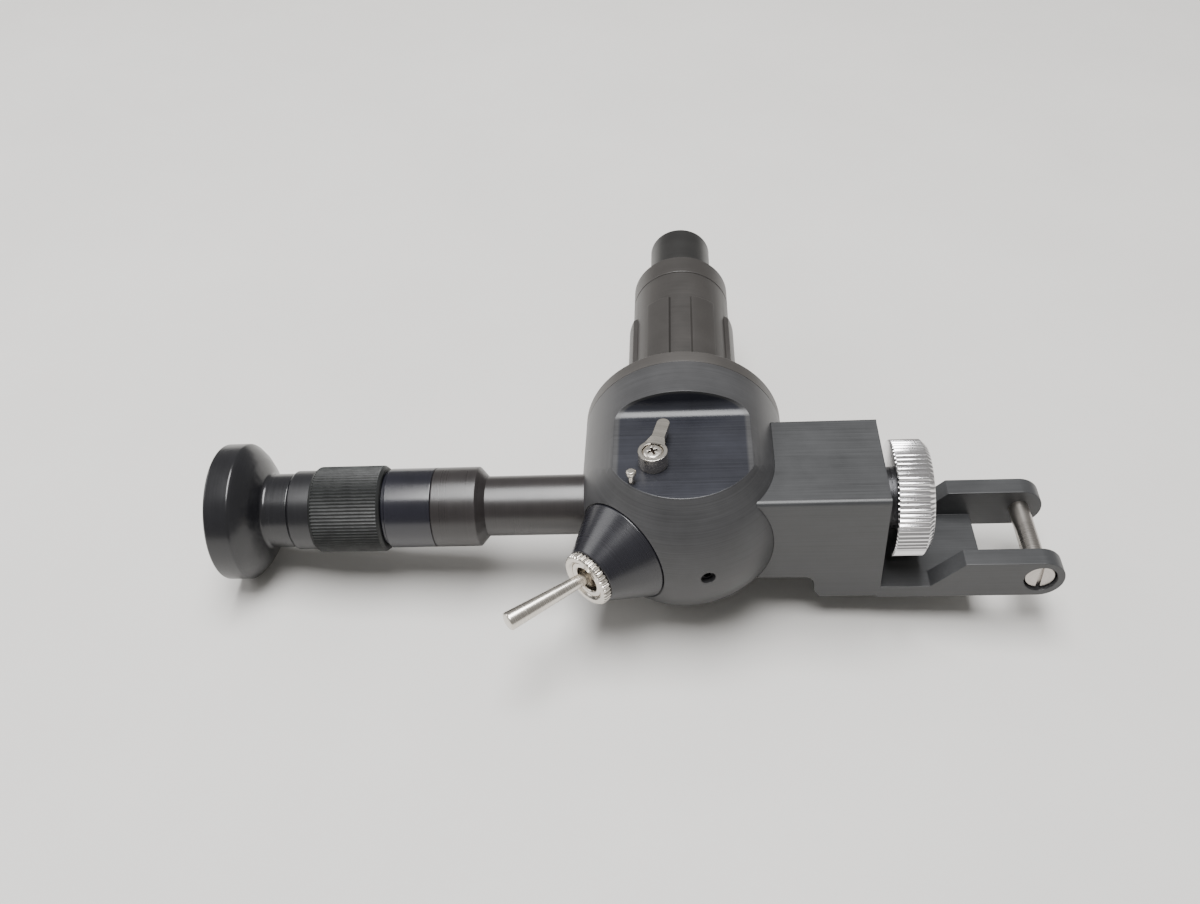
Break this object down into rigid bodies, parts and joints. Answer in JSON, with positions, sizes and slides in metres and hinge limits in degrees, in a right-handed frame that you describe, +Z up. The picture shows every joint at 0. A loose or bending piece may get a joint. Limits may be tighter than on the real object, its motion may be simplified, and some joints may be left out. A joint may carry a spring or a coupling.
{
  "type": "lensmeter viewing head",
  "caption": "Lensmeter viewing head lying down: round prism head, focusing barrel, eyepiece with eyecup, lamp switch, filter lever and a clamp bracket with a hinge fork.",
  "frame": {"origin": "middle of the bracket's hinge pin, by which the head hangs from its stand arm", "axes": "+Y along the focusing barrel towards its nose, -X towards the eyepiece, +Z up from the surface that it lies on"},
  "size_m": [0.2622, 0.1878, 0.064],
  "materials": {
    "barrel_anodised": "black anodised, satin",
    "black_anodised": "black anodised, fine turned and brushed marks",
    "black_brass_bush": "bare",
    "black_steel": "blackened",
    "blackened_brass": "blackened and lacquered, glossy",
    "board_green": "lacquered board",
    "green_glass": "polished",
    "knob_aluminium": "polished, straight knurl",
    "lamp_plastic": "clear moulded",
    "lead_red": "insulation",
    "matt_black": "black, matt, knurled",
    "matt_brass": "blackened, matt, knurled",
    "moulded_black": "moulded",
    "nickel": "satin nickel plate",
    "optical_glass": "polished",
    "steel": "bare"
  },
  "bodies": {
    "head": {"head_body": "black_anodised", "rear_plate": "black_anodised", "rear_plate_screws": "black_steel", "prism": "optical_glass", "prism_cell": "black_anodised", "prism_clamp": "steel", "clamp_screws": "black_steel", "cell_screws": "black_steel", "lamp": "lamp_plastic", "lamp_board": "board_green", "battery_holder": "moulded_black", "button_cells": "steel", "lamp_leads": "lead_red", "dome_screw": "black_steel", "stop_pin": "nickel", "spindle_bush": "black_brass_bush", "switch_cone": "barrel_anodised", "switch_case": "moulded_black", "switch_terminals": "black_brass_bush", "switch_bush": "nickel", "switch_nut": "nickel", "eyepiece_tube": "black_anodised", "eyepiece_collar": "black_anodised", "reticle_barrel": "blackened_brass", "reticle": "optical_glass", "reticle_ring": "matt_black", "barrel_tube": "barrel_anodised", "bracket": "black_anodised", "hinge_pin": "steel"},
    "filter": {"filter_spindle": "steel", "filter_lever": "nickel", "lever_screw": "nickel", "filter_frame": "barrel_anodised", "filter_glass": "green_glass"},
    "toggle": {"toggle_lever": "nickel"},
    "dioptre_ring": {"dioptre_ring": "matt_brass"},
    "ocular": {"eyepiece_sleeve": "blackened_brass", "eyecup": "blackened_brass", "field_lens": "optical_glass", "field_lens_ring": "matt_black", "eye_lens": "optical_glass", "eye_lens_ring": "matt_black"},
    "focus_ring": {"focus_ring": "barrel_anodised"},
    "nose": {"nose_collar": "barrel_anodised", "nose_tube": "barrel_anodised", "guide_pin": "steel", "objective_lens": "optical_glass", "objective_ring": "barrel_anodised", "lens_stop": "barrel_anodised"},
    "washer": {"clamp_washer": "black_steel"},
    "clamp": {"clamp_knob": "knob_aluminium", "clamp_stud": "steel"}
  },
  "joints": [
    {"name": "filter_swing", "type": "hinge", "parent": "head", "child": "filter", "pos_m": [-0.11676, -0.0082, 0.00979], "axis": [-0.0723, 0, 0.9974], "range_deg": [0, 132.1]},
    {"name": "toggle_throw", "type": "hinge", "parent": "head", "child": "toggle", "pos_m": [-0.13361, -0.02728, 0.00857], "axis": [-0.0723, 0, 0.9974], "range_deg": [0, 20]},
    {"name": "dioptre_turn", "type": "hinge", "parent": "head", "child": "dioptre_ring", "pos_m": [-0.21196, 0, 0.00289], "axis": [-0.9974, 0, -0.0723], "range_deg": [-150, 150]},
    {"name": "ocular_slide", "type": "slide", "parent": "head", "child": "ocular", "axis": [-0.9974, 0, -0.0723], "range_m": [-0.0015, 0.0015]},
    {"name": "focus_turn", "type": "hinge", "parent": "head", "child": "focus_ring", "pos_m": [-0.10823, 0.068, 0.01041], "axis": [0, 1, 0], "range_deg": [0, 270]},
    {"name": "nose_slide", "type": "slide", "parent": "head", "child": "nose", "axis": [0, 1, 0], "range_m": [0, 0.004]},
    {"name": "washer_slide", "type": "slide", "parent": "head", "child": "washer", "axis": [0.9974, 0, 0.0723], "range_m": [0, 0.003]},
    {"name": "knob_turn", "type": "hinge", "parent": "washer", "child": "clamp", "pos_m": [-0.04041, 0, 0.01532], "axis": [0.9974, 0, 0.0723], "range_deg": [0, 720]}
  ],
  "couplings": [
    {"joint": "ocular_slide", "follows": "dioptre_turn", "m_per_rad": 0.000572},
    {"joint": "nose_slide", "follows": "focus_turn", "m_per_rad": 0.000848},
    {"joint": "washer_slide", "follows": "knob_turn", "m_per_rad": 0.0002387}
  ]
}
